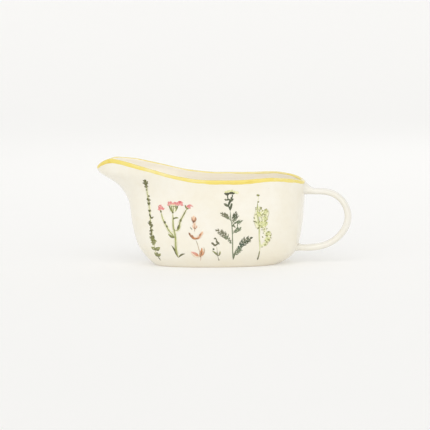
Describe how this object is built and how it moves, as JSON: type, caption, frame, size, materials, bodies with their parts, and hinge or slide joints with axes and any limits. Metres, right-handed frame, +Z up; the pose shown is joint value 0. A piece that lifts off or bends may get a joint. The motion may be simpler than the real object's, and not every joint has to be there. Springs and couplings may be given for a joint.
{
  "type": "gravy boat",
  "caption": "Oval gravy boat with a drawn-out pouring spout, a loop handle at the back and a coloured band round the lip.",
  "frame": {"origin": "under the middle of the overall length, on the surface that the boat stands on", "axes": "+X towards the handle and -X towards the spout, +Z up, decorated side facing -Y"},
  "size_m": [0.2121, 0.0838, 0.0902],
  "materials": {
    "cream_glaze": "gloss",
    "cream_glaze_handle": "gloss",
    "yellow_glaze": "gloss",
    "plant_print": "gloss"
  },
  "bodies": {
    "root": {"bowl": "cream_glaze", "handle": "cream_glaze_handle", "rim_band": "yellow_glaze"}
  },
  "joints": []
}
